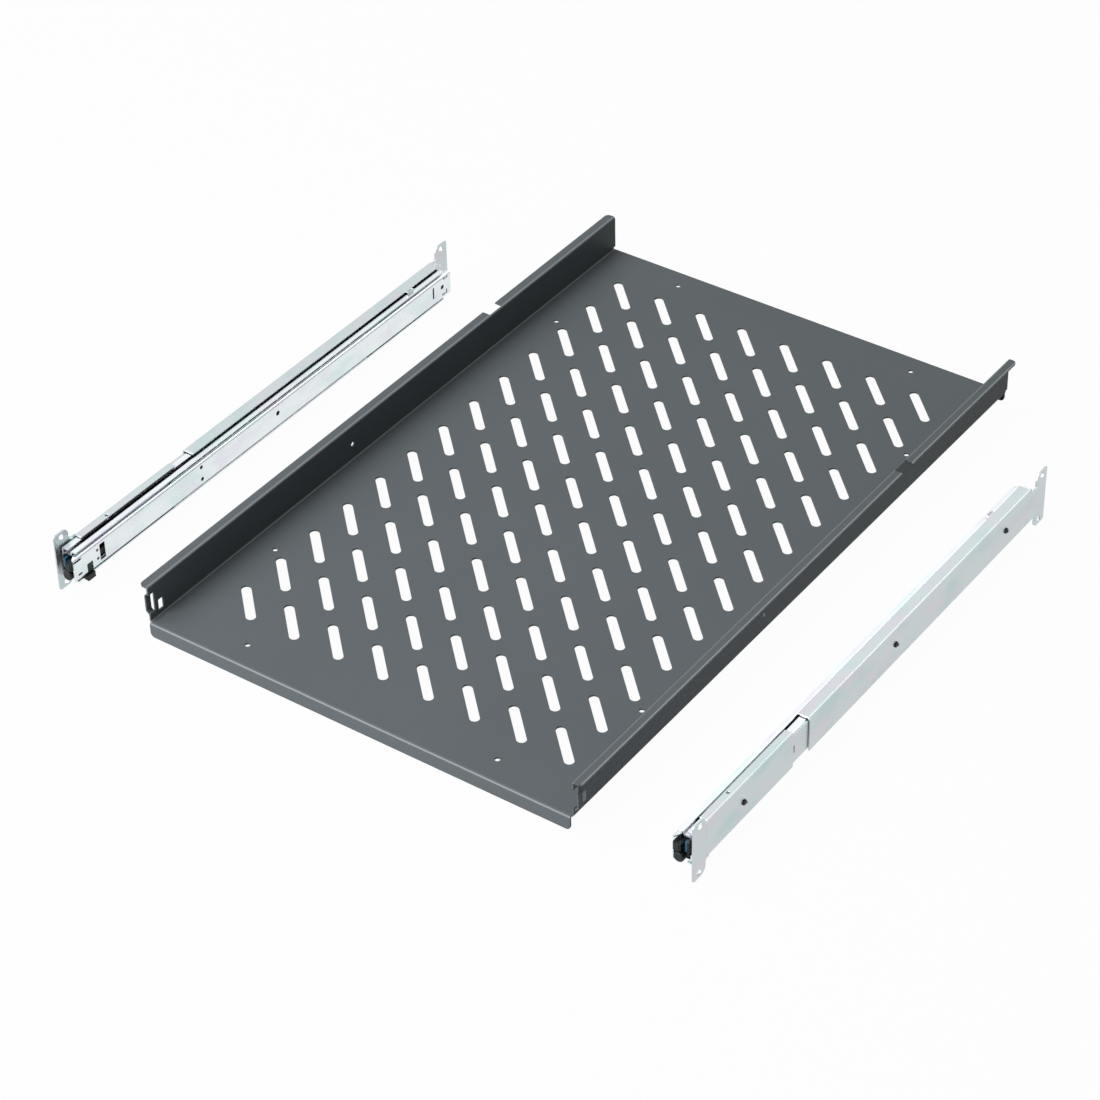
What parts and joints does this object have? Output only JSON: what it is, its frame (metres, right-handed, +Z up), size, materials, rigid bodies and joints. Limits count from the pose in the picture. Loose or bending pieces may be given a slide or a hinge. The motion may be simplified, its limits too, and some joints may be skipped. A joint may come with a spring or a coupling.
{
  "type": "sliding rack shelf",
  "caption": "Pull-out shelf for an equipment rack: slotted sheet steel tray with telescopic slide sets and depth-adjustable mounting brackets laid out beside it.",
  "frame": {"origin": "centre of the bounding box's bottom face, on the surface that the tray's front lip and the slide sets' ears stand on", "axes": "+X across the shelf to its right, -Y to the front where it is pulled out, +Z up"},
  "size_m": [0.6148, 0.6532, 0.054],
  "materials": {
    "tray_paint": "fine textured powder coat",
    "zinc": "bright zinc plate with a faint blue-green tint",
    "bearing_steel": "polished",
    "black_steel": "black oxide",
    "black_plastic": "matte moulded",
    "blue_plastic": "moulded"
  },
  "bodies": {
    "shelf": {"tray": "tray_paint"},
    "right_inner": {"right_inner_member": "zinc", "right_front_bumper": "black_plastic", "right_lever_pin": "zinc"},
    "right_inner_cage": {"right_inner_ball_cage": "zinc", "right_inner_balls": "bearing_steel"},
    "right_middle": {"right_middle_member": "zinc", "right_latch_insert": "blue_plastic", "right_latch_cover": "black_plastic"},
    "right_outer_cage": {"right_outer_ball_cage": "zinc", "right_outer_balls": "bearing_steel"},
    "right_outer": {"right_outer_member": "zinc", "right_rear_bumper": "black_plastic", "right_front_bracket": "zinc", "right_front_bracket_screw": "black_steel"},
    "right_rear_bracket_set": {"right_rear_bracket": "zinc", "right_clamp_screw_front": "black_steel", "right_clamp_nut_front": "zinc", "right_clamp_screw_rear": "black_steel", "right_clamp_nut_rear": "zinc"},
    "right_lever": {"right_latch_lever": "black_plastic"},
    "left_inner": {"left_inner_member": "zinc", "left_front_bumper": "black_plastic", "left_lever_pin": "zinc"},
    "left_inner_cage": {"left_inner_ball_cage": "zinc", "left_inner_balls": "bearing_steel"},
    "left_middle": {"left_middle_member": "zinc", "left_latch_insert": "blue_plastic", "left_latch_cover": "black_plastic"},
    "left_outer_cage": {"left_outer_ball_cage": "zinc", "left_outer_balls": "bearing_steel"},
    "left_outer": {"left_outer_member": "zinc", "left_rear_bumper": "black_plastic", "left_front_bracket": "zinc", "left_front_bracket_screw": "black_steel"},
    "left_rear_bracket_set": {"left_rear_bracket": "zinc", "left_clamp_screw_front": "black_steel", "left_clamp_nut_front": "zinc", "left_clamp_screw_rear": "black_steel", "left_clamp_nut_rear": "zinc"},
    "left_lever": {"left_latch_lever": "black_plastic"}
  },
  "joints": [
    {"name": "right_seat", "type": "slide", "parent": "shelf", "child": "right_inner", "axis": [-1, 0, 0], "range_m": [0, 0.0814]},
    {"name": "right_extend", "type": "slide", "parent": "right_inner", "child": "right_middle", "axis": [0, 1, 0], "range_m": [0, 0.23]},
    {"name": "right_extend_outer", "type": "slide", "parent": "right_middle", "child": "right_outer", "axis": [0, 1, 0], "range_m": [0, 0.23]},
    {"name": "right_inner_cage_roll", "type": "slide", "parent": "right_inner", "child": "right_inner_cage", "axis": [0, 1, 0], "range_m": [0, 0.115]},
    {"name": "right_outer_cage_roll", "type": "slide", "parent": "right_middle", "child": "right_outer_cage", "axis": [0, 1, 0], "range_m": [0, 0.115]},
    {"name": "right_depth_setting", "type": "slide", "parent": "right_outer", "child": "right_rear_bracket_set", "axis": [0, 1, 0], "range_m": [0, 0.03]},
    {"name": "right_latch", "type": "hinge", "parent": "right_inner", "child": "right_lever", "pos_m": [0.2898, -0.26905, 0.02605], "axis": [1, 0, 0], "range_deg": [0, 5]},
    {"name": "left_seat", "type": "slide", "parent": "shelf", "child": "left_inner", "axis": [1, 0, 0], "range_m": [0, 0.075]},
    {"name": "left_extend", "type": "slide", "parent": "left_inner", "child": "left_middle", "axis": [0, 1, 0], "range_m": [0, 0.23]},
    {"name": "left_extend_outer", "type": "slide", "parent": "left_middle", "child": "left_outer", "axis": [0, 1, 0], "range_m": [0, 0.23]},
    {"name": "left_inner_cage_roll", "type": "slide", "parent": "left_inner", "child": "left_inner_cage", "axis": [0, 1, 0], "range_m": [0, 0.115]},
    {"name": "left_outer_cage_roll", "type": "slide", "parent": "left_middle", "child": "left_outer_cage", "axis": [0, 1, 0], "range_m": [0, 0.115]},
    {"name": "left_depth_setting", "type": "slide", "parent": "left_outer", "child": "left_rear_bracket_set", "axis": [0, 1, 0], "range_m": [0, 0.03]},
    {"name": "left_latch", "type": "hinge", "parent": "left_inner", "child": "left_lever", "pos_m": [-0.2898, -0.26905, 0.02605], "axis": [1, 0, 0], "range_deg": [0, 5]}
  ],
  "couplings": [
    {"joint": "left_seat", "follows": "right_seat", "ratio": 0.9213},
    {"joint": "right_extend_outer", "follows": "right_extend", "ratio": 1},
    {"joint": "right_inner_cage_roll", "follows": "right_extend", "ratio": 0.5},
    {"joint": "right_outer_cage_roll", "follows": "right_extend", "ratio": 0.5},
    {"joint": "left_extend", "follows": "right_extend", "ratio": 1},
    {"joint": "left_extend_outer", "follows": "right_extend", "ratio": 1},
    {"joint": "left_inner_cage_roll", "follows": "right_extend", "ratio": 0.5},
    {"joint": "left_outer_cage_roll", "follows": "right_extend", "ratio": 0.5},
    {"joint": "left_depth_setting", "follows": "right_depth_setting", "ratio": 1},
    {"joint": "left_latch", "follows": "right_latch", "ratio": 1}
  ]
}
